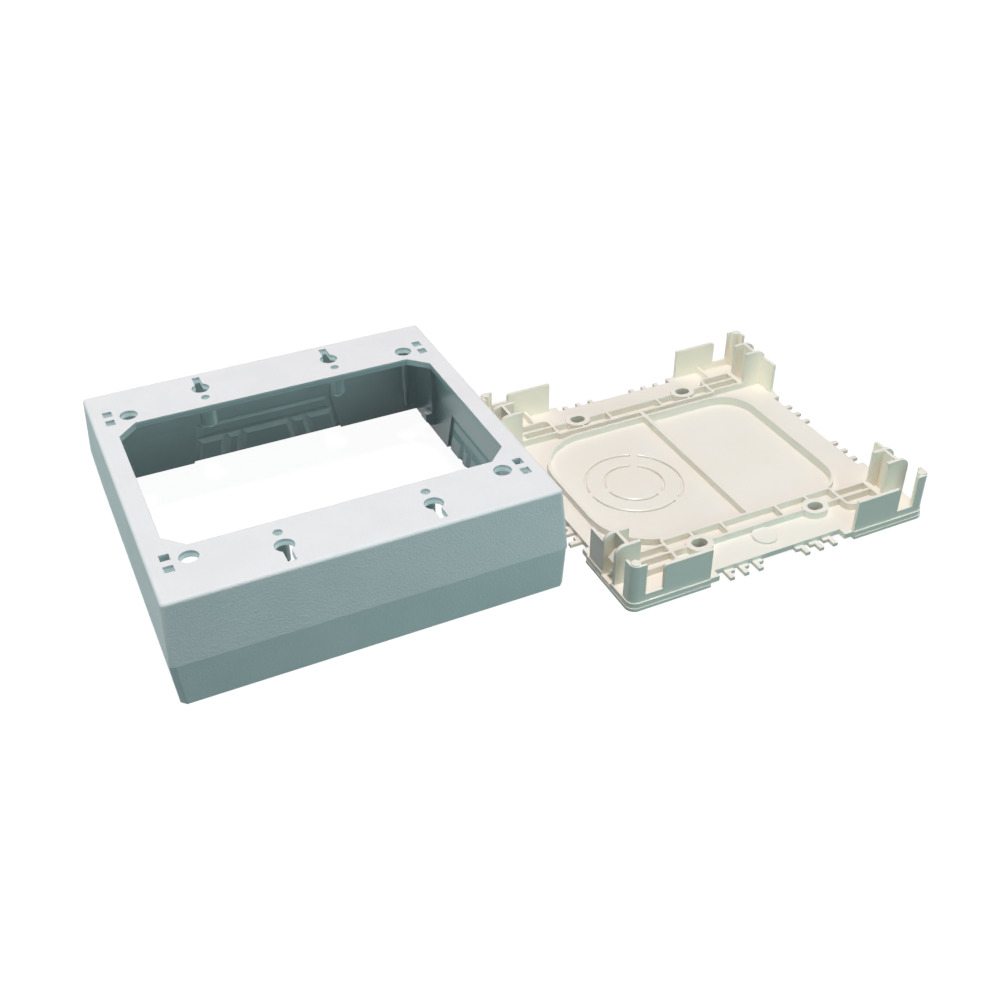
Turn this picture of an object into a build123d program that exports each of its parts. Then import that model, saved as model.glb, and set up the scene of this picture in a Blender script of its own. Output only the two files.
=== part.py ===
from build123d import *
import os

# A surface raceway outlet box for two wiring devices, taken apart.
# The cover frame stands on the ground as it sits on a wall, with the base plate beside it.
# All lengths are in millimetres, +Z is up, and the ground is at z = 0.

# Screw spacing of two wiring devices side by side, shared by the cover and the base
gang_spacing = 46.04
screw_spacing = 83.34

# How far the base plate's centre lies from the cover's centre
apart_x = 130.4
apart_y = -25.2

# Cover frame: three levels give its sloping sides
cover_height = 36.0
crease_height = 14.8
foot_length = 122.4
foot_width = 121.6
crease_length = 124.4
crease_width = 122.0
top_length = 121.8
top_width = 118.2
cover_wall = 2.2
top_thickness = 2.3
foot_corner_bevel = 1.6
upper_corner_radius = 1.3
top_edge_radius = 1.1

# Cover frame: device opening and the holes round it
opening_length = 108.4
opening_width = 71.8
opening_corner = 6.3
pilot_radius = 1.45
pilot_depth = 9.5
boss_radius = 2.8
boss_reach = 11.0
boss_bevel = 1.2
boss_bevel_angle = 45
keyhole_radius = 3.0
keyhole_offset = 6.6
keyhole_slot_width = 2.6
keyhole_slot_reach = 7.7
corner_hole_radius = 2.9
corner_hole_spacing_x = 97.6
corner_hole_spacing_y = 83.2
window_length = 2.9
window_width = 3.2
window_spacing_x = 110.4
window_middle_y = 42.0
window_pitch = 5.6

# Cover frame: stepped break-out panels inside each of the four walls
break_out_skin = 1.0
break_out_height = 15.3
break_out_top_half = 25.0
break_out_foot_half = 28.0
break_out_lift = 0.7
break_out_groove = 0.9
ledge_height = 8.9
key_top_half = 8.8
key_foot_half = 10.7
step_top_half = 15.0
step_foot_half = 16.6
panel_rise = 1.1
panel_bevel_angle = 58
panel_drop = 3.0

# Cover frame: guide ribs on the long walls and latch hooks on the side walls
guide_radius = 1.1
guide_x = 55.0
guide_foot = 2.7
hook_play = 0.6
hook_bite = 0.6
hook_height = 5.2
hook_slant = 2.2
finger_depth = 2.0

# Base plate: levels above the ground
plate_lift = 1.0
plate_top = 2.9
lip_height = 1.1
right_floor = 2.1
rib_top = 5.4
fin_top = 17.5
post_top = 17.1
pin_top = 17.5
wall_top = 14.6

# Base plate: outline, held clear of the cover's inner faces
side_play = 1.2
end_play = 1.6
lip_step = 0.2
lip_width = 3.0
flange_corner_radius = 3.3
flange_start_x = 28.2
flange_start_y = 28.8
plate_inset_x = 3.1
plate_inset_y = 3.7
ear_length = 3.6
ear_inset = 0.7

# Base plate: wall panels, posts and latch fins in each corner
wall_inset = 0.7
wall_thickness = 1.2
wall_end = 45.6
wall_corner_radius = 1.1
high_wall_top = 11.8
post_thickness = 1.0
post_leg = 5.0
post_corner_radius = 2.5
pin_radius = 1.5
pin_inset = 2.0
fin_start_y = 37.2
fin_thickness = 1.3
fin_gap = 6.0
fin_length = 8.9
fin_radius = 3.5
web_inset = 3.9
web_thickness = 1.2
side_wall_start = 29.8
wedge_reach = 2.8
wedge_foot = 9.1
wedge_height = 3.0
wedge_width = 4.4
latch_notch_floor = 2.0
pocket_rib_width = 2.0

# Base plate: ribs and screw bosses
rib_width = 1.0
rib_a_back = 36.1
rib_b = 41.5
rib_c = 46.1
box_rib = 37.4
cross_near = 10.9
cross_far = 33.7
quarter_radius = 2.2
gusset_x = 38.6
oval_length = 9.4
oval_width = 8.0
slot_length = 5.5
slot_width = 4.1

# Base plate: rim, divider, knockout and ejector disc
rim_width = 1.1
rim_left = 48.6
rim_right = 42.4
rim_front = 35.6
rim_back = 33.4
rim_left_radius = 22.0
rim_right_radius = 13.0
divider_x = 1.0
divider_width = 1.6
inner_ring_radius = 10.4
outer_ring_radius = 17.0
ring_groove_width = 0.6
ring_groove_depth = 0.8
ring_shoulder_width = 0.45
ring_shoulder_depth = 0.25
ring_shoulder_angle = 60
ring_tie_width = 2.6
ring_ties = 3
ring_tie_angle = 60
disc_radius = 4.3
disc_top = 3.7
disc_y = -45.7

# Base plate: break-off pegs round the edge
peg_reach = 4.1
peg_root = 1.0
peg_width = 1.7
peg_foot = 0.3
peg_top = 1.5
peg_first_x = 9.2
peg_first_y = 8.5
peg_pitch = 5.5
pegs_in_group = 3
barb_length = 1.3
barb_width = 2.7

# Outline of the base, which goes inside the foot of the cover
flange_x = foot_length / 2 - cover_wall - side_play
flange_y = foot_width / 2 - cover_wall - end_play
plate_x = flange_x - plate_inset_x
plate_y = flange_y - plate_inset_y
wall_x = flange_x - wall_inset
wall_y = flange_y - wall_inset
web_x = wall_x - web_inset
fin_end_y = fin_start_y + fin_thickness + fin_gap
fin_middle_y = fin_start_y + fin_thickness + fin_gap / 2
root_level = (plate_lift + plate_top) / 2

# Depths that carry a cut or a hole right through the cover's top plate or its wall
through_top = 1.5 * top_thickness
through_wall = 2 * cover_wall

# The origin is the middle of the footprint of both pieces together
set_left = -crease_length / 2
set_right = apart_x + max(flange_x, plate_x + peg_reach)
set_front = apart_y - max(flange_y, plate_y + peg_reach)
set_back = crease_width / 2
cover_x = -(set_left + set_right) / 2
cover_y = -(set_front + set_back) / 2
base_x = cover_x + apart_x
base_y = cover_y + apart_y

corners = [(side_x, side_y) for side_x in (-1, 1) for side_y in (-1, 1)]


def cover_level(height):
    """A level plane over the cover's centre."""
    return Plane(origin=(cover_x, cover_y, height))


def base_level(height):
    """A level plane over the base plate's centre."""
    return Plane(origin=(base_x, base_y, height))


def patch(x_start, x_end, y_start, y_end, mode=Mode.ADD):
    """A rectangle in the open sketch, given by its edges."""
    with Locations(((x_start + x_end) / 2, (y_start + y_end) / 2)):
        Rectangle(abs(x_end - x_start), abs(y_end - y_start), mode=mode)


def quad(low, high, low_start, low_end, high_start, high_end):
    """A four-sided outline whose level lower and upper edges run from start to end."""
    Polygon((low_start, low), (low_end, low), (high_end, high), (high_start, high), align=None)


def trapezoid(low, high, low_half, high_half):
    """A four-sided outline between two heights, about the middle."""
    quad(low, high, -low_half, low_half, -high_half, high_half)


def sloping_block(low, high, low_size, high_size, inset=0.0, radius=0.0, bevel=0.0):
    """A block over the cover's centre whose four sides run straight from low to high."""
    front = Plane(origin=(cover_x, cover_y, 0), x_dir=(1, 0, 0), z_dir=(0, -1, 0))
    side = Plane(origin=(cover_x, cover_y, 0), x_dir=(0, 1, 0), z_dir=(1, 0, 0))
    with BuildPart() as block:
        with BuildSketch(front):
            trapezoid(low, high, low_size[0] / 2 - inset, high_size[0] / 2 - inset)
        extrude(amount=crease_width, both=True)
        with BuildSketch(side):
            trapezoid(low, high, low_size[1] / 2 - inset, high_size[1] / 2 - inset)
        extrude(amount=crease_length, both=True, mode=Mode.INTERSECT)
        uprights = block.edges().filter_by(lambda edge: low < edge.center().Z < high)
        if radius:
            fillet(uprights, radius)
        if bevel:
            chamfer(uprights, bevel)
    return block.part


def below_foot(foot_half, top_half, height):
    """A break-out edge's distance from the middle, carried on below the foot along its slope."""
    return foot_half + (foot_half - top_half) * panel_drop / height


def ring_slots(width):
    """Both knockout rings in the open sketch as slots of a width, left whole at their ties."""
    with Locations((-gang_spacing / 2, 0)):
        for ring_radius in (outer_ring_radius, inner_ring_radius):
            Circle(ring_radius + width / 2)
            Circle(ring_radius - width / 2, mode=Mode.SUBTRACT)
            with PolarLocations(ring_radius, ring_ties, start_angle=ring_tie_angle):
                Rectangle(2 * width, ring_tie_width, mode=Mode.SUBTRACT)


def rim_outline(inset):
    """The rim's outline moved in by an inset, with wide left and tight right corners."""
    with BuildSketch() as outline:
        patch(-rim_left + inset, rim_right - inset, -rim_front + inset, rim_back - inset)
        fillet(outline.vertices().group_by(Axis.X)[0], rim_left_radius - inset)
        fillet(outline.vertices().group_by(Axis.X)[-1], rim_right_radius - inset)
    return outline.sketch


def span_at(height, crease_span, top_span):
    """The cover's outer length or width at a height above the crease."""
    share = (height - crease_height) / (cover_height - crease_height)
    return crease_span + (top_span - crease_span) * share


def lower_wall(side):
    """The outer face of the cover's lower band on one side: x along the wall, y up it."""
    foot = (foot_length, foot_width)[side % 2] / 2
    crease = (crease_length, crease_width)[side % 2] / 2
    outward = Vector(1, 0, 0).rotate(Axis.Z, 90 * side)
    along = Vector(0, 1, 0).rotate(Axis.Z, 90 * side)
    slope = Vector(0, 0, crease_height) + outward * (crease - foot)
    origin = Vector(cover_x, cover_y, 0) + outward * foot
    return Plane(origin=origin, x_dir=along, z_dir=along.cross(slope))


# Cover frame, upper and lower band

foot_size = (foot_length, foot_width)
crease_size = (crease_length, crease_width)
top_size = (top_length, top_width)
ceiling = cover_height - top_thickness
ceiling_length = span_at(ceiling, crease_length, top_length)
ceiling_width = span_at(ceiling, crease_width, top_width)
ceiling_size = (ceiling_length, ceiling_width)
lower_band = sloping_block(0, crease_height, foot_size, crease_size, bevel=foot_corner_bevel)
upper_band = sloping_block(
    crease_height, cover_height, crease_size, top_size, radius=upper_corner_radius
)
lower_hollow = sloping_block(0, crease_height, foot_size, crease_size, inset=cover_wall)
upper_hollow = sloping_block(crease_height, ceiling, crease_size, ceiling_size, inset=cover_wall)

with BuildPart() as cover_frame:
    add(lower_band)
    add(upper_band)
    fillet(cover_frame.faces().sort_by(Axis.Z)[-1].edges(), top_edge_radius)
    add(lower_hollow, mode=Mode.SUBTRACT)
    add(upper_hollow, mode=Mode.SUBTRACT)

    # Device opening, with its corners cut off at an angle
    with BuildSketch(cover_level(cover_height)) as opening:
        Rectangle(opening_length, opening_width)
        chamfer(opening.vertices(), opening_corner)
    extrude(amount=-through_top, mode=Mode.SUBTRACT)

    # Bosses that hang under the device screw holes, narrowed at their lower end
    with BuildSketch(cover_level(ceiling + top_thickness / 2)):
        with GridLocations(gang_spacing, screw_spacing, 2, 2):
            Circle(boss_radius)
    extrude(amount=boss_bevel + top_thickness / 2 - boss_reach)
    with BuildSketch(cover_level(cover_height + boss_bevel - boss_reach)):
        with GridLocations(gang_spacing, screw_spacing, 2, 2):
            Circle(boss_radius)
    extrude(amount=-boss_bevel, taper=boss_bevel_angle)
    with BuildSketch(cover_level(cover_height)):
        with GridLocations(gang_spacing, screw_spacing, 2, 2):
            Circle(pilot_radius)
    extrude(amount=-pilot_depth, mode=Mode.SUBTRACT)

    # Keyholes, corner holes and square latch windows through the top plate
    with BuildSketch(cover_level(cover_height)):
        for side_x, side_y in corners:
            keyhole_x = side_x * gang_spacing / 2
            keyhole_y = side_y * (screw_spacing / 2 + keyhole_offset)
            with Locations((keyhole_x, keyhole_y)):
                Circle(keyhole_radius)
            patch(
                keyhole_x - keyhole_slot_width / 2,
                keyhole_x + keyhole_slot_width / 2,
                keyhole_y,
                keyhole_y + side_y * keyhole_slot_reach,
            )
            for window_y in (window_middle_y - window_pitch / 2, window_middle_y + window_pitch / 2):
                with Locations((side_x * window_spacing_x / 2, side_y * window_y)):
                    Rectangle(window_length, window_width)
        with GridLocations(corner_hole_spacing_x, corner_hole_spacing_y, 2, 2):
            Circle(corner_hole_radius)
    extrude(amount=-through_top, mode=Mode.SUBTRACT)

    # Break-out panels: a recess open at the foot, with bevelled panels standing in it
    key_start = below_foot(key_foot_half, key_top_half, ledge_height)
    step_start = below_foot(step_foot_half, step_top_half, ledge_height)
    recess_start = below_foot(break_out_foot_half, break_out_top_half, break_out_height)
    recess_slope = (break_out_foot_half - break_out_top_half) / break_out_height
    edge_start = recess_start - break_out_groove
    edge_ledge = break_out_foot_half - recess_slope * ledge_height - break_out_groove
    edge_top = break_out_top_half - break_out_groove
    panels = (
        (ledge_height, break_out_height, -edge_ledge, edge_ledge, -edge_top, edge_top),
        (-panel_drop, ledge_height, -key_start, key_start, -key_top_half, key_top_half),
        (-panel_drop, ledge_height, key_start, step_start, key_top_half, step_top_half),
        (-panel_drop, ledge_height, -step_start, -key_start, -step_top_half, -key_top_half),
        (-panel_drop, ledge_height, step_start, edge_start, step_top_half, edge_ledge),
        (-panel_drop, ledge_height, -edge_start, -step_start, -edge_ledge, -step_top_half),
    )
    for side in range(4):
        recess_floor = lower_wall(side).offset(-break_out_skin)
        with BuildSketch(recess_floor):
            trapezoid(-panel_drop, break_out_height, recess_start, break_out_top_half)
        extrude(amount=-through_wall, mode=Mode.SUBTRACT)
        for panel in panels:
            with BuildSketch(recess_floor):
                quad(*panel)
            extrude(amount=-panel_rise, taper=panel_bevel_angle)
        with BuildSketch(recess_floor):
            trapezoid(-panel_drop, break_out_lift, recess_start, break_out_foot_half)
        extrude(amount=-through_wall, mode=Mode.SUBTRACT)
    split(bisect_by=cover_level(0), keep=Keep.TOP)

    # Round guide ribs down the front and back walls, beside each corner
    with BuildSketch(cover_level(guide_foot)):
        with GridLocations(2 * guide_x, foot_width - 2 * cover_wall, 2, 2):
            Circle(guide_radius)
    extrude(amount=ceiling + top_thickness / 2 - guide_foot)

    # Latch hooks: a finger down each side wall, with a foot that catches under the base's wedge
    hook_width = fin_gap - 2 * hook_play
    hook_top = wedge_foot - hook_play / 2
    hook_foot = hook_top - hook_height
    hook_tip = web_x + wedge_reach - hook_bite
    hook_root = (foot_length - cover_wall) / 2
    finger_x = crease_length / 2 - cover_wall - finger_depth
    finger_root = (top_length - cover_wall) / 2
    for side_x, side_y in corners:
        hook_face = Plane(
            origin=(cover_x, cover_y + side_y * fin_middle_y, 0),
            x_dir=(side_x, 0, 0),
            z_dir=(0, -side_x, 0),
        )
        with BuildSketch(hook_face):
            Polygon(
                (hook_tip, hook_top),
                (hook_root, hook_top),
                (hook_root, hook_foot),
                (hook_tip + hook_slant, hook_foot),
                (hook_tip, hook_foot + hook_slant),
                align=None,
            )
        extrude(amount=hook_width / 2, both=True)
    with BuildSketch(cover_level(hook_top - hook_height / 2)):
        for side_x, side_y in corners:
            finger_near = side_y * (fin_middle_y - hook_width / 2)
            finger_far = side_y * (fin_middle_y + hook_width / 2)
            patch(side_x * finger_x, side_x * finger_root, finger_near, finger_far)
    extrude(amount=ceiling + top_thickness / 2 - hook_top + hook_height / 2)

# Corner of the base: the quarter where x and y are positive

with BuildPart() as corner:
    # Foot lip and flange, with a rounded outer corner
    with BuildSketch(base_level(0)):
        RectangleRounded(2 * flange_x, 2 * flange_y, flange_corner_radius)
        patch(flange_start_x, flange_x, flange_start_y, flange_y, mode=Mode.INTERSECT)
        patch(0, flange_x - lip_width, 0, flange_y - lip_width, mode=Mode.SUBTRACT)
    extrude(amount=lip_height)
    with BuildSketch(base_level(lip_height)):
        RectangleRounded(2 * (flange_x - lip_step), 2 * (flange_y - lip_step), flange_corner_radius)
        patch(flange_start_x, flange_x, flange_start_y, flange_y, mode=Mode.INTERSECT)
    extrude(amount=plate_top - lip_height)

    # Ears that carry the flange a little further along each edge of the plate
    with BuildSketch(base_level(plate_lift)):
        ear_start_x = flange_start_x - ear_length
        ear_start_y = flange_start_y - ear_length
        patch(ear_start_x, flange_start_x + ear_inset, plate_y - peg_root, flange_y - ear_inset)
        patch(plate_x - peg_root, flange_x - ear_inset, ear_start_y, flange_start_y + ear_inset)
    extrude(amount=plate_top - plate_lift)

    # Latch notch in the flange, outside the web
    with BuildSketch(base_level(plate_top)):
        patch(web_x, flange_x, fin_start_y + fin_thickness, fin_end_y)
    extrude(amount=latch_notch_floor - plate_top, mode=Mode.SUBTRACT)

    # Ribs beside the latch fins with a quarter round, a gusset and the low wall, all of one height
    box_end = wall_x - fin_length
    with BuildSketch(base_level(root_level)):
        with BuildLine():
            Line((cross_far, box_rib), (box_end, box_rib))
            Line((cross_far, rib_b), (box_end, rib_b))
            Line((cross_far + quarter_radius, rib_c), (box_end, rib_c))
            Line((gusset_x, rib_c), (gusset_x, wall_y - wall_thickness / 2))
        trace(line_width=rib_width)
        with BuildLine():
            CenterArc((cross_far + quarter_radius, rib_c - quarter_radius), quarter_radius, 90, 90)
        trace(line_width=rib_width)
        patch(box_end - pocket_rib_width, box_end, box_rib - rib_width / 2, rib_c + rib_width / 2)
        patch(wall_end - wall_thickness, wall_x - post_leg, wall_y - wall_thickness, wall_y)
    extrude(amount=rib_top - root_level)

    # Wall panel on the long edge, rounded at its outer end, and side wall on the short edge
    wall_face = Plane(origin=(base_x, base_y + wall_y, 0), x_dir=(1, 0, 0), z_dir=(0, -1, 0))
    with BuildSketch(wall_face) as wall:
        patch(flange_start_x, wall_end, root_level, wall_top)
        fillet(wall.vertices().sort_by_distance((wall_end, wall_top))[0], wall_corner_radius)
    extrude(amount=wall_thickness)
    with BuildSketch(base_level(root_level)):
        patch(wall_x - wall_thickness, wall_x, side_wall_start, fin_start_y + fin_thickness)
    extrude(amount=wall_top - root_level)

    # Corner post: two thin legs with a rounded outer corner and a round pin between them
    with BuildSketch(base_level(root_level)):
        RectangleRounded(2 * wall_x, 2 * wall_y, post_corner_radius)
        patch(wall_x - post_leg, wall_x, wall_y - post_leg, wall_y, mode=Mode.INTERSECT)
        patch(
            wall_x - post_leg,
            wall_x - post_thickness,
            wall_y - post_leg,
            wall_y - post_thickness,
            mode=Mode.SUBTRACT,
        )
    extrude(amount=post_top - root_level)
    with BuildSketch(base_level(root_level)):
        with Locations((wall_x - pin_inset, wall_y - pin_inset)):
            Circle(pin_radius)
    extrude(amount=pin_top - root_level)

    # Latch fins: two upright blades with a rounded outer shoulder, joined by a web
    for fin_y in (fin_start_y, fin_end_y):
        fin_face = Plane(origin=(base_x, base_y + fin_y, 0), x_dir=(1, 0, 0), z_dir=(0, -1, 0))
        with BuildSketch(fin_face) as fin:
            patch(wall_x - fin_length, wall_x, root_level, fin_top)
            fillet(fin.vertices().sort_by_distance((wall_x, fin_top))[0], fin_radius)
        extrude(amount=-fin_thickness)
    with BuildSketch(base_level(root_level)):
        patch(web_x - web_thickness, web_x, fin_start_y, fin_end_y + fin_thickness)
    extrude(amount=fin_top - root_level)

    # Snap wedge on the outer face of the web: level below, sloping above
    wedge_face = Plane(origin=(base_x, base_y + fin_middle_y, 0), x_dir=(1, 0, 0), z_dir=(0, -1, 0))
    with BuildSketch(wedge_face):
        Polygon(
            (web_x - web_thickness / 2, wedge_foot),
            (web_x + wedge_reach, wedge_foot),
            (web_x, wedge_foot + wedge_height),
            (web_x - web_thickness / 2, wedge_foot + wedge_height),
            align=None,
        )
    extrude(amount=wedge_width / 2, both=True)

# Base plate

front_corner = mirror(corner.part, about=Plane(origin=(base_x, base_y, 0), z_dir=(0, 1, 0)))
rim_outer = rim_outline(0)
rim_inner = rim_outline(rim_width)

with BuildPart() as base_plate:
    with BuildSketch(base_level(plate_lift)):
        Rectangle(2 * plate_x, 2 * plate_y)
    extrude(amount=plate_top - plate_lift)
    for right_corner in (corner.part, front_corner):
        add(right_corner)
        mirror(right_corner, about=Plane(origin=(base_x, base_y, 0), z_dir=(1, 0, 0)))

    # Right bay, sunk a little into the plate inside the rim
    with BuildSketch(base_level(plate_top)):
        add(rim_inner)
        patch(-rim_left, divider_x + divider_width / 2, -rim_front, rim_back, mode=Mode.SUBTRACT)
    extrude(amount=right_floor - plate_top, mode=Mode.SUBTRACT)

    # Rim with corners of two radii, and the divider across it
    with BuildSketch(base_level(root_level)):
        add(rim_outer)
        add(rim_inner, mode=Mode.SUBTRACT)
        patch(divider_x - divider_width / 2, divider_x + divider_width / 2, -rim_front, rib_a_back)
    extrude(amount=rib_top - root_level)

    # Rib ladder along the front and back edges
    with BuildSketch(base_level(root_level)):
        for side_y, rib_a in ((-1, rim_front - rib_width / 2), (1, rib_a_back)):
            with BuildLine():
                Line((-cross_far, side_y * rib_a), (cross_far, side_y * rib_a))
                Line((-cross_far, side_y * rib_b), (cross_far, side_y * rib_b))
            trace(line_width=rib_width)
            with BuildLine():
                for side_x in (-1, 1):
                    Line((side_x * cross_near, side_y * rib_a), (side_x * cross_near, side_y * rib_b))
                    Line(
                        (side_x * gang_spacing / 2, side_y * rib_a),
                        (side_x * gang_spacing / 2, side_y * screw_spacing / 2),
                    )
                    Line(
                        (side_x * cross_far, side_y * rib_a),
                        (side_x * cross_far, side_y * (rib_c - quarter_radius)),
                    )
            trace(line_width=rib_width)
        with GridLocations(gang_spacing, screw_spacing, 2, 2):
            SlotOverall(oval_length, oval_width)
    extrude(amount=rib_top - root_level)

    # Slotted screw holes right through their bosses
    with BuildSketch(base_level(0)):
        with GridLocations(gang_spacing, screw_spacing, 2, 2):
            SlotOverall(slot_length, slot_width)
    extrude(amount=rib_top, mode=Mode.SUBTRACT)

    # The low wall by the back left post is taller than the other three
    with BuildSketch(base_level(root_level)):
        patch(-wall_end, -(wall_x - post_leg), wall_y - wall_thickness, wall_y)
    extrude(amount=high_wall_top - root_level)

    # Double knockout: two ring grooves with sloping shoulders
    with BuildSketch(base_level(plate_top)):
        ring_slots(ring_groove_width + 2 * ring_shoulder_width)
    extrude(amount=-ring_shoulder_depth, taper=ring_shoulder_angle, mode=Mode.SUBTRACT)
    with BuildSketch(base_level(plate_top)):
        ring_slots(ring_groove_width)
    extrude(amount=-ring_groove_depth, mode=Mode.SUBTRACT)

    # Round pad left by the moulding gate
    with BuildSketch(base_level(root_level)):
        with Locations((0, disc_y)):
            Circle(disc_radius)
    extrude(amount=disc_top - root_level)

    # Break-off pegs in groups, each with a barb at its root
    with BuildSketch(base_level(peg_foot)):
        for side_x, side_y in corners:
            root_x = side_x * (plate_x - peg_root)
            root_y = side_y * (plate_y - peg_root)
            for number in range(pegs_in_group):
                peg_x = side_x * (peg_first_x + number * peg_pitch)
                peg_y = side_y * (peg_first_y + number * peg_pitch)
                half = peg_width / 2
                patch(peg_x - half, peg_x + half, root_y, side_y * (plate_y + peg_reach))
                patch(root_x, side_x * (plate_x + peg_reach), peg_y - half, peg_y + half)
                patch(peg_x, peg_x - side_x * barb_width, root_y, side_y * (plate_y + barb_length))
                patch(root_x, side_x * (plate_x + barb_length), peg_y, peg_y - side_y * barb_width)
    extrude(amount=peg_top - peg_foot)

cover_frame.part.label = "cover_frame"
base_plate.part.label = "base_plate"

os.makedirs("parts", exist_ok=True)
export_step(cover_frame.part, "parts/cover_frame.step")
export_step(base_plate.part, "parts/base_plate.step")
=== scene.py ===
# %% [markdown]
# A surface raceway outlet box, taken apart: a moulded cover frame on the left and its base
# plate on the right. Both are single mouldings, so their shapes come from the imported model, and
# the cover is shown by a copy with level outer faces. This lesson gives the two pieces their
# plastics, their light and the camera of a product photo.

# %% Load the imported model
import math

import bpy
from mathutils import Matrix, Vector


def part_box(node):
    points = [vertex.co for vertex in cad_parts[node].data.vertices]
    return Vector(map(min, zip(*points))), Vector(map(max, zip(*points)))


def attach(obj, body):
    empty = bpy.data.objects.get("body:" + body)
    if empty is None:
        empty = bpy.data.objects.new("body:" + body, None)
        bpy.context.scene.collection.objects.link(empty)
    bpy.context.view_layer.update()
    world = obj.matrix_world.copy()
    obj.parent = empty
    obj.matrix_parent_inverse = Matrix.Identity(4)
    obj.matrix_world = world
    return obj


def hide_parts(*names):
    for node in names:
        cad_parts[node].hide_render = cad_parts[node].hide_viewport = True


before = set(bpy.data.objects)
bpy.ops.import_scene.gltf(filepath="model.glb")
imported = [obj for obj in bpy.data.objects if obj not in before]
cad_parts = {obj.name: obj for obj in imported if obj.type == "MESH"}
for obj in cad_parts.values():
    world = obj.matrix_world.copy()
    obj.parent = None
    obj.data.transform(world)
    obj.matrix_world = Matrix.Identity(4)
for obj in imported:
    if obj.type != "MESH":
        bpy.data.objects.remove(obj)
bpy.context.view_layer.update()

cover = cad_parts["cover_frame"]
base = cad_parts["base_plate"]
cover_low, cover_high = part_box("cover_frame")
base_low, base_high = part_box("base_plate")
cover_middle = (cover_low + cover_high) / 2
base_middle = (base_low + base_high) / 2
MM = 0.001
print("cover", [round(side / MM, 1) for side in cover_high - cover_low], "mm")
print("base", [round(side / MM, 1) for side in base_high - base_low], "mm")

# %% [markdown]
# The camera stands where the photographer stood. Its place was worked out from the screw holes,
# whose spacing is a standard one, so the two pieces come out in the picture where they lie in
# the photo. The place and the aim are measured from the middle of the cover's foot. A camera
# looks along its own -Z, and to_track_quat turns it so that the world's up is the picture's up;
# a last small turn about the line of sight levels the picture as the photo is.

# %% The camera
CAMERA_FROM_COVER = Vector((-82.2, -320.2, 248.8)) * MM
AIM_FROM_COVER = Vector((62.3, -10.6, 0.0)) * MM
LENS = 43.65
SENSOR = 36.0
ROLL = math.radians(0.53)
NEAREST_SEEN = 0.01
FARTHEST_SEEN = 20.0

cover_foot = Vector((cover_middle.x, cover_middle.y, 0))
camera_data = bpy.data.cameras.new("product_camera")
camera_data.lens = LENS
camera_data.sensor_width = SENSOR
camera_data.clip_start = NEAREST_SEEN
camera_data.clip_end = FARTHEST_SEEN
camera = bpy.data.objects.new("product_camera", camera_data)
bpy.context.scene.collection.objects.link(camera)
bpy.context.scene.camera = camera
camera.location = cover_foot + CAMERA_FROM_COVER
sight = AIM_FROM_COVER - CAMERA_FROM_COVER
camera.rotation_mode = "QUATERNION"
turn = Matrix.Rotation(-ROLL, 4, "Z").to_quaternion()
camera.rotation_quaternion = sight.to_track_quat("-Z", "Y") @ turn
print("camera", round(sight.length, 3), "m from its aim")

# %% [markdown]
# The four round guide ribs inside the cover reach a little through its outer faces near the top,
# where these lean in. On the real moulding nothing shows outside, so the cover is shown by a copy
# that can be mended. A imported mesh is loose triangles, each with its own three points, so the
# points that lie in one place are merged first; only then do neighbouring faces hold together.

# %% A merged copy of the cover
SAME_PLACE = 0.002 * MM

bpy.ops.object.select_all(action="DESELECT")
bpy.context.view_layer.objects.active = cover
cover.select_set(True)
bpy.ops.object.duplicate()
cover_shell = bpy.context.active_object
cover_shell.name = "cover_shell"
bpy.ops.object.mode_set(mode="EDIT")
bpy.ops.mesh.select_all(action="SELECT")
bpy.ops.mesh.remove_doubles(threshold=SAME_PLACE)
bpy.ops.object.mode_set(mode="OBJECT")
print("cover copy:", len(cover_shell.data.vertices), "points")

# %% [markdown]
# Above its crease the cover's front and back lean in evenly, so how far out such a face lies
# follows from the height alone. A point beside a rib that lies further out than the face at its
# height is a stray one, and it is pushed straight back until it is level with the face.

# %% Stray points pushed level with the outer faces
CREASE_HEIGHT = 14.8 * MM
TOP_HALF_WIDTH = 59.1 * MM
RIB_PLACE = 55.0 * MM
RIB_REACH = 1.3 * MM

crease_half_width = (cover_high.y - cover_low.y) / 2
lean_in = (crease_half_width - TOP_HALF_WIDTH) / (cover_high.z - CREASE_HEIGHT)
levelled = set()
for vertex in cover_shell.data.vertices:
    across = vertex.co.y - cover_middle.y
    beside_rib = abs(abs(vertex.co.x - cover_middle.x) - RIB_PLACE) < RIB_REACH
    outer_face = crease_half_width - lean_in * (vertex.co.z - CREASE_HEIGHT)
    if vertex.co.z > CREASE_HEIGHT and beside_rib and abs(across) > outer_face:
        vertex.co.y = cover_middle.y + math.copysign(outer_face, across)
        levelled.add(vertex.index)
for face in cover_shell.data.polygons:
    if levelled.intersection(face.vertices):
        face.use_smooth = False
print("points levelled:", len(levelled))

# %% [markdown]
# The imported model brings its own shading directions, which no longer fit the moved faces, so they
# are dropped and slivers without area are dissolved. Each face keeps its mark as flat or smooth,
# which leaves the crease crisp although it turns by only 6 degrees. Where smooth faces meet at
# more than 30 degrees, the edge is marked sharp. The copy then rides on the same body as the
# packed cover and takes its place.

# %% The copy's edges and its place in the model
SHARP_TURN = math.radians(30)

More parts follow.
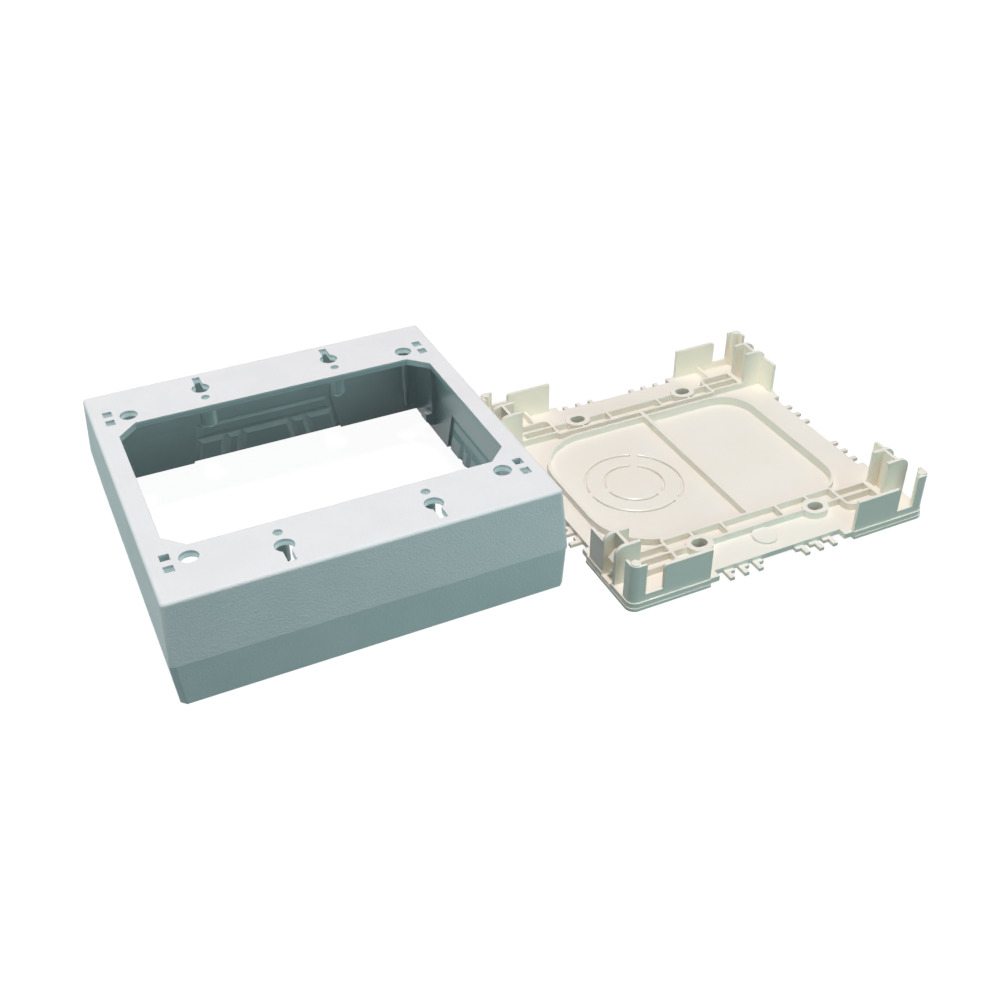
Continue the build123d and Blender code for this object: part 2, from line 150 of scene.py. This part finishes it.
bpy.ops.mesh.customdata_custom_splitnormals_clear()
bpy.ops.object.mode_set(mode="EDIT")
bpy.ops.mesh.select_all(action="SELECT")
bpy.ops.mesh.dissolve_degenerate(threshold=SAME_PLACE)
bpy.ops.mesh.select_all(action="DESELECT")
bpy.ops.mesh.select_mode(type="EDGE")
bpy.ops.mesh.edges_select_sharp(sharpness=SHARP_TURN)
bpy.ops.mesh.mark_sharp()
bpy.ops.object.mode_set(mode="OBJECT")
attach(cover_shell, "root")
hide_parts("cover_frame")
sharp_edges = sum(edge.use_edge_sharp for edge in cover_shell.data.edges)
print("cover shell:", len(cover_shell.data.vertices), "points,", sharp_edges, "sharp edges")

# %% [markdown]
# Shader graphs are easier to read as sums. This class holds one output socket and adds a Math
# node for each sign in an expression, so `1 - mask` and `height * 0.3 + grain` both work. The
# reflected forms (`__rsub__` and its kin) are what lets a plain number stand on the left.

# %% A socket that can be used in sums
class Wire:
    """One output socket of a node tree, with the signs of arithmetic."""

    def __init__(self, tree, socket):
        self.tree = tree
        self.socket = socket

    def node(self, kind, settings=None, inputs=None, output=0):
        """Adds a node: its type, its settings, and values or wires for its sockets."""
        made = self.tree.nodes.new(kind)
        for name, value in (settings or {}).items():
            setattr(made, name, value)
        for name, value in (inputs or {}).items():
            if isinstance(value, Wire):
                self.tree.links.new(value.socket, made.inputs[name])
            else:
                made.inputs[name].default_value = value
        return Wire(self.tree, None if output is None else made.outputs[output])

    def math(self, operation, *values):
        """A Math node on this wire and up to two more values."""
        inputs = dict(enumerate((self, *values)))
        return self.node("ShaderNodeMath", {"operation": operation}, inputs)

    def __add__(self, other):
        return self.math("ADD", other)

    def __sub__(self, other):
        return self.math("SUBTRACT", other)

    def __mul__(self, other):
        return self.math("MULTIPLY", other)

    def __truediv__(self, other):
        return self.math("DIVIDE", other)

    def __rsub__(self, other):
        return self.math("MULTIPLY_ADD", -1.0, other)

    def __abs__(self):
        return self.math("ABSOLUTE")

    __radd__ = __add__
    __rmul__ = __mul__

    def smallest(self, other):
        return self.math("MINIMUM", other)

    def largest(self, other):
        return self.math("MAXIMUM", other)

    def between(self, low, high, to_low=0.0, to_high=1.0, smooth=True):
        """Runs from to_low to to_high while this wire runs from low to high."""
        kind = "SMOOTHSTEP" if smooth else "LINEAR"
        source = {"Value": self, "From Min": low, "From Max": high}
        target = {"To Min": to_low, "To Max": to_high}
        return self.node("ShaderNodeMapRange", {"interpolation_type": kind}, source | target)

    def parts(self):
        """The three parts of a vector, along X, Y and Z."""
        split = self.node("ShaderNodeSeparateXYZ", inputs={0: self})
        return [Wire(self.tree, output) for output in split.socket.node.outputs]


print("wires ready")

# %% [markdown]
# Every finish here starts the same way: a Principled shader, the point being painted measured in
# millimetres from the middle of its piece, and that point's three coordinates. Working in
# millimetres keeps the grain of a moulding readable: a grain of 0.4 is 0.4 mm. A Mix node has
# sockets for each kind of value, so the places of those for colours are named first.

# %% A material to paint on
BEVEL_SAMPLES = 4
MIX_COLORS = (6, 7)
MIX_RESULT = 2


class Finish:
    """A new plastic: its Principled shader and the place of each point in millimetres."""

    def __init__(self, name, middle, color, **constants):
        self.material = bpy.data.materials.new(name)
        self.material.use_nodes = True
        self.tree = self.material.node_tree
        self.shader = self.tree.nodes["Principled BSDF"]
        self.shader.inputs["Base Color"].default_value = (*color, 1.0)
        for socket, value in constants.items():
            self.shader.inputs[socket.replace("_", " ")].default_value = value
        self.start = Wire(self.tree, None)
        coordinates = self.start.node("ShaderNodeTexCoord", output="Object")
        moved = self.start.node(
            "ShaderNodeVectorMath",
            {"operation": "SUBTRACT"},
            {0: coordinates, 1: tuple(middle)},
        )
        self.point = self.start.node(
            "ShaderNodeVectorMath",
            {"operation": "SCALE"},
            {0: moved, "Scale": 1 / MM},
        )
        self.x, self.y, self.z = self.point.parts()

    def noise(self, size, detail=2.0, distortion=0.0):
        """Even noise whose patches are about size millimetres across."""
        inputs = {
            "Vector": self.point,
            "Scale": 1 / size,
            "Detail": detail,
            "Distortion": distortion,
        }
        return self.start.node("ShaderNodeTexNoise", inputs=inputs)

    def tint(self, share, color_a, color_b):
        """Blends two colours, each fixed or a wire, by a wire."""
        inputs = {0: share}
        for socket, color in zip(MIX_COLORS, (color_a, color_b)):
            inputs[socket] = color if isinstance(color, Wire) else (*color, 1.0)
        return self.start.node("ShaderNodeMix", {"data_type": "RGBA"}, inputs, output=MIX_RESULT)

    def facing(self):
        """The three parts of the direction that the surface faces."""
        return self.start.node("ShaderNodeTexCoord", output="Normal").parts()

    def feed(self, socket, wire):
        self.tree.links.new(wire.socket, self.shader.inputs[socket])

    def glow(self, share, color):
        """Paints light on: the surface shines faintly in a colour where the share is 1."""
        self.feed("Emission Color", self.tint(share, (0.0, 0.0, 0.0), color))
        self.shader.inputs["Emission Strength"].default_value = 1.0

    def relief(self, height, depth, edge_radius):
        """Bumps the surface by a height wire, over edges that are rounded to a radius in mm."""
        rounded = self.start.node(
            "ShaderNodeBevel", {"samples": BEVEL_SAMPLES}, {"Radius": edge_radius * MM}
        )
        bump = self.start.node(
            "ShaderNodeBump",
            inputs={"Strength": 1.0, "Distance": depth * MM, "Height": height, "Normal": rounded},
        )
        self.feed("Normal", bump)


def put_on(piece, material):
    """Gives a piece this material and no other."""
    piece.data.materials.clear()
    piece.data.materials.append(material)


print("finishes ready")

# %% [markdown]
# The cover is a cool white plastic. Outside, the mould is etched with a fine matte grain that
# stops people's fingerprints from showing; inside, the mould steel is only polished. Both are one
# material: how deep a point lies under the outer skin says which of the two it is. The side
# walls lean in towards the top, so the skin there lies further in than at the foot.

# %% Outside and inside of the cover
COVER_WHITE = (0.84, 0.845, 0.855)
DULL_SHEEN = 0.35
LEAN_AT_TOP = 1.6
LEAN_AT_FOOT = 0.2
SKIN = 1.2
SKIN_FADE = 0.4

cover_half = (cover_high - cover_low) / 2 / MM
cover_finish = Finish(
    "cover_plastic_matte", cover_middle, COVER_WHITE, Specular_IOR_Level=DULL_SHEEN
)
side_depth = (cover_half.x - abs(cover_finish.x)).smallest(cover_half.y - abs(cover_finish.y))
top_depth = cover_half.z - cover_finish.z
lean = top_depth.between(0.0, 2 * cover_half.z, LEAN_AT_TOP, LEAN_AT_FOOT, smooth=False)
outside = 1 - (side_depth - lean).smallest(top_depth).between(SKIN * SKIN_FADE, SKIN)
print("cover is", [round(half * 2, 1) for half in cover_half], "mm, its skin", SKIN, "mm")

# %% [markdown]
# Outside, a second, slightly darker white comes and goes in wide soft clouds, as on a moulding
# that cooled unevenly. Inside, the colour is darker: a painted shade, deeper than these few lamps
# cast there. The slanted bevels of the inner panels catch more light, which is painted on as a
# paler colour: painted light. A face is slanted where none of the three parts of its direction
# comes near 1.

# %% The cover's colour, its painted shade and light, and its roughness
COVER_SHADE = (0.81, 0.82, 0.83)
PAINTED_INSIDE_SHADE = (0.57, 0.64, 0.65)
PAINTED_BEVEL_LIGHT = (0.76, 0.82, 0.82)
CLOUD_SIZE = 14.0
CLOUD_RANGE = (0.35, 0.7)
BEVEL_SLANT = (0.03, 0.13)
POLISHED_ROUGHNESS = 0.26
ETCHED_EXTRA = 0.28
CLOUD_EXTRA = 0.06

cloud = cover_finish.noise(CLOUD_SIZE, detail=3.0)
outside_paint = cover_finish.tint(cloud.between(*CLOUD_RANGE), COVER_WHITE, COVER_SHADE)
faces_x, faces_y, faces_z = cover_finish.facing()
slant = 1 - abs(faces_x).largest(abs(faces_y)).largest(abs(faces_z))
# Painted shade on the cover's inside, and painted light on its slanted bevels.
inside_shade_and_light = cover_finish.tint(slant.between(*BEVEL_SLANT), PAINTED_INSIDE_SHADE, PAINTED_BEVEL_LIGHT)
cover_finish.feed("Base Color", cover_finish.tint(outside, inside_shade_and_light, outside_paint))
cover_finish.feed(
    "Roughness", POLISHED_ROUGHNESS + outside * ETCHED_EXTRA + cloud * CLOUD_EXTRA
)
print("cover painted:", len(cover_finish.tree.nodes), "nodes")

# %% [markdown]
# The holes in the top plate have pale walls, because light comes through the white plastic round
# them. A faint glow stands for that: it is where a point lies within the plate's thickness, under
# the skin, and in one of the two wide strips of the top that hold the holes. A Bevel node then
# rounds every edge in the shading by a third of a millimetre, and the grain is a bump over it.

# %% The cover's hole rims in painted light, and its grain
RIM_PAINTED_LIGHT = (0.22, 0.28, 0.28)
PLATE_UNDERSIDE = (2.2, 2.8)
STRIP_START = (37.5, 38.0)
GRAIN_SIZE = 0.65
GRAIN_DEPTH = 0.1
CLOUD_RELIEF = 0.1
COVER_EDGE_RADIUS = 0.35

in_plate = top_depth.between(*PLATE_UNDERSIDE, 1.0, 0.0)
in_strip = abs(cover_finish.y).between(*STRIP_START)
# Painted light: the walls of the holes in the top plate glow faintly pale.
cover_finish.glow(in_plate * (1 - outside) * in_strip, RIM_PAINTED_LIGHT)
grain = cover_finish.noise(GRAIN_SIZE)
cover_finish.relief(grain * outside + cloud * CLOUD_RELIEF, GRAIN_DEPTH, COVER_EDGE_RADIUS)
put_on(cover_shell, cover_finish.material)
print("cover finish:", len(cover_finish.tree.nodes), "nodes")

# %% [markdown]
# The base is ivory and glossier: nobody sees it on the wall, so its mould is left polished. Warm
# plastic like this is slightly cloudy, which shows as faint flow marks, and its large flat
# floors are never quite flat, which a shallow wide bump gives to the reflections.

# %% The base plate's plastic
BASE_IVORY = (0.855, 0.83, 0.755)
BASE_CREAM = (0.84, 0.81, 0.72)
GLOSSY_IOR = 1.5
FLOW_SIZE = 22.0
FLOW_RANGE = (0.35, 0.75)
FLOW_EXTRA = 0.08
GLOSSY_ROUGHNESS = 0.24
POLISH_SIZE = 1.4
POLISH_EXTRA = 0.05
POLISH_RELIEF = 0.05
SINK_SIZE = 9.0
SINK_DEPTH = 0.05
BASE_EDGE_RADIUS = 0.3

base_finish = Finish("base_plastic_gloss", base_middle, BASE_IVORY, IOR=GLOSSY_IOR)
flow = base_finish.noise(FLOW_SIZE, detail=4.0, distortion=0.6)
polish = base_finish.noise(POLISH_SIZE, detail=3.0)
sink = base_finish.noise(SINK_SIZE, detail=1.0)
base_finish.feed("Base Color", base_finish.tint(flow.between(*FLOW_RANGE), BASE_IVORY, BASE_CREAM))
base_finish.feed("Roughness", GLOSSY_ROUGHNESS + flow * FLOW_EXTRA + polish * POLISH_EXTRA)
base_finish.relief(sink + polish * POLISH_RELIEF, SINK_DEPTH, BASE_EDGE_RADIUS)
print("base painted:", len(base_finish.tree.nodes), "nodes")

# %% [markdown]
# The base's upright walls, fins and posts are thin, and light comes through them, most of all
# near the plate's edges, where they stand free. A faint glow stands for that. It is left off the
# sides that face away from the middle of the plate, which the photo shows in plain shade: there
# the way a face looks and the way outwards agree, so that their product is large.

# %% Painted light on the base's thin walls
WALL_PAINTED_LIGHT = (0.20, 0.175, 0.13)
LEVEL_FACES = (0.3, 0.9)
NEAR_EDGE = (0.8, 0.96)
GLOW_FURTHER_IN = 0.35
FACING_OUT = (0.5, 0.8)

base_half = (base_high - base_low) / 2 / MM
faces_x, faces_y, faces_z = base_finish.facing()
outward = faces_x * base_finish.x / base_half.x + faces_y * base_finish.y / base_half.y
upright = 1 - abs(faces_z).between(*LEVEL_FACES)
edge_share = abs(base_finish.x / base_half.x).largest(abs(base_finish.y / base_half.y))
thin = edge_share.between(*NEAR_EDGE, GLOW_FURTHER_IN, 1.0) * (1 - outward.between(*FACING_OUT))
# Painted light: the base's thin upright walls glow faintly warm.
base_finish.glow(upright * thin, WALL_PAINTED_LIGHT)
put_on(base, base_finish.material)
print("base finish:", len(base_finish.tree.nodes), "nodes")

# %% [markdown]
# White paper surrounds the object, but its light has to be kept from filling every shade. So the
# world has two faces. Rays that see it directly, from the camera or in a gloss, meet white. As
# light on the object it is a cool glow, strongest at the horizon and gone overhead.

# %% The world
HORIZON = (0.28, 0.48, 0.48)
PAPER_WHITE = (1.0, 1.0, 1.0)


def seen_directly(start):
    """1 for rays that see the background itself: from the camera, in gloss and through glass."""
    path = start.node("ShaderNodeLightPath").socket.node
    seen = Wire(start.tree, path.outputs["Is Camera Ray"])
    for name in ("Is Glossy Ray", "Is Transmission Ray"):
        seen = seen.largest(Wire(start.tree, path.outputs[name]))
    return seen


world = bpy.data.worlds.new("studio")
bpy.context.scene.world = world
world.use_nodes = True
world.node_tree.nodes.clear()
sky = Wire(world.node_tree, None)
height = sky.node("ShaderNodeTexCoord", output="Generated").parts()[2].largest(0.0)
low_glow = (1 - height) * (1 - height) * (1 - height)
cool = sky.node("ShaderNodeBackground", inputs={"Color": (*HORIZON, 1.0), "Strength": low_glow})
white = sky.node("ShaderNodeBackground", inputs={"Color": (*PAPER_WHITE, 1.0)})
blend = sky.node("ShaderNodeMixShader", inputs={0: seen_directly(sky), 1: cool, 2: white})
sky.node("ShaderNodeOutputWorld", inputs={"Surface": blend}, output=None)
bpy.context.scene.view_settings.view_transform = "Standard"
print("world:", len(world.node_tree.nodes), "nodes")

# %% [markdown]
# A product photo on white is lit mostly from above, so level faces are bright and upright ones
# fall to a cool grey. Here a warm sun shines almost straight down, and a level face comes out at
# about the colour that is written in its material. The other lamps are weak and cool: a wide sun
# from high in front, on the right, a small box close in front and a box far out on the left.

# %% The lamps
OVERHEAD = (1.0, 0.885, 0.895)
COOL = (0.62, 1.0, 1.0)
MIDDLE = (0, 0, 0)
COVER_FRONT = (0.03, -0.05, 0.015)


def lamp(name, kind, place, aim, power, color, **settings):
    """A soft lamp that shines from a place to an aim, both in metres."""
    data = bpy.data.lights.new(name, kind)
    data.energy = power
    data.color = color
    for setting, value in settings.items():
        setattr(data, setting, value)
    made = bpy.data.objects.new(name, data)
    bpy.context.scene.collection.objects.link(made)
    made.location = place
    made.visible_camera = False
    made.rotation_mode = "QUATERNION"
    made.rotation_quaternion = (Vector(aim) - Vector(place)).to_track_quat("-Z", "Y")


lamp("overhead", "SUN", (0, -0.022, 1.0), MIDDLE, 2.55, OVERHEAD, angle=math.radians(9))
lamp("front_high", "SUN", (0.6, -0.5, 0.8), MIDDLE, 0.32, COOL, angle=math.radians(20))
lamp("front_box", "AREA", (0.06, -0.32, 0.12), COVER_FRONT, 0.18, COOL, size=0.12)
lamp("left_box", "AREA", (-0.75, 0.15, 0.32), MIDDLE, 1.25, COOL, size=0.3)

# %% [markdown]
# The ground is white paper to the eye, but only a small part of that white comes back as light on
# the object: if it all did, the shaded sides would be as bright as the top. The paper that the
# camera sees mostly shines by itself and is lit a little, so a faint soft shadow stays on it.

# %% The floor
FLOOR_SIZE = 12.0
FLOOR_BOUNCE = (0.04, 0.05, 0.05)
FLOOR_SHINE = 0.95
FLOOR_LIT = (0.10, 0.10, 0.10)

bpy.ops.object.select_all(action="DESELECT")
bpy.ops.mesh.primitive_plane_add(size=FLOOR_SIZE, location=(0, 0, 0))
floor = bpy.context.active_object
floor.name = "floor"
floor_paper = bpy.data.materials.new("floor_paper")
floor_paper.use_nodes = True
floor_paper.node_tree.nodes.clear()
paper = Wire(floor_paper.node_tree, None)
bounce = paper.node("ShaderNodeBsdfDiffuse", inputs={"Color": (*FLOOR_BOUNCE, 1.0)})
lit = paper.node("ShaderNodeBsdfDiffuse", inputs={"Color": (*FLOOR_LIT, 1.0)})
shine = paper.node(
    "ShaderNodeEmission", inputs={"Color": (*PAPER_WHITE, 1.0), "Strength": FLOOR_SHINE}
)
seen_paper = paper.node("ShaderNodeAddShader", inputs={0: lit, 1: shine})
surface = paper.node(
    "ShaderNodeMixShader", inputs={0: seen_directly(paper), 1: bounce, 2: seen_paper}
)
paper.node("ShaderNodeOutputMaterial", inputs={"Surface": surface}, output=None)
floor.data.materials.append(floor_paper)
print("floor laid,", FLOOR_SIZE, "m wide")
